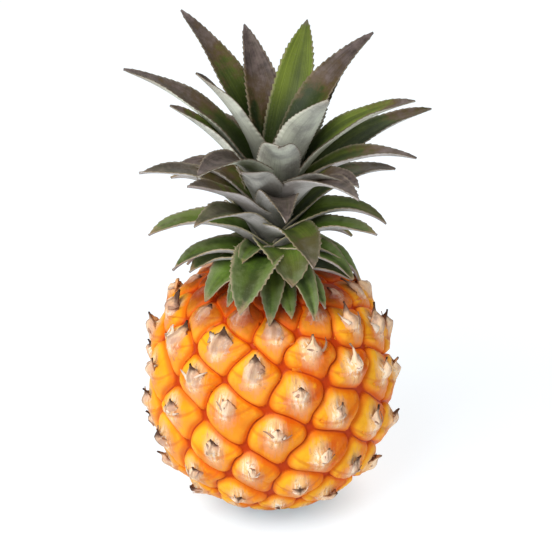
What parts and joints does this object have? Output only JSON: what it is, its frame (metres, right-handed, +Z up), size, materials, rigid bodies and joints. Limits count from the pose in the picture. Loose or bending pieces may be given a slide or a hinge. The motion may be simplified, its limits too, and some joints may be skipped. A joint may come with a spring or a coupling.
{
  "type": "fresh fruit",
  "caption": "Small whole pineapple: a squat fruit covered in spiral eyes with dry hooked points, under a leaning crown of toothed, arching leaves.",
  "frame": {"origin": "middle of the cut stalk end, on the plane that the fruit stands on", "axes": "+Z up through the fruit to the crown; the side that is seen most faces -Y; the crown leans towards +X"},
  "size_m": [0.1162, 0.1019, 0.1878],
  "materials": {
    "fruit": "waxy, slightly glossy orange rind",
    "crown": "satin green leaf",
    "stalk": "dry fibrous cut"
  },
  "bodies": {
    "root": {"fruit": "fruit", "crown": "crown", "stalk": "stalk"}
  },
  "joints": []
}
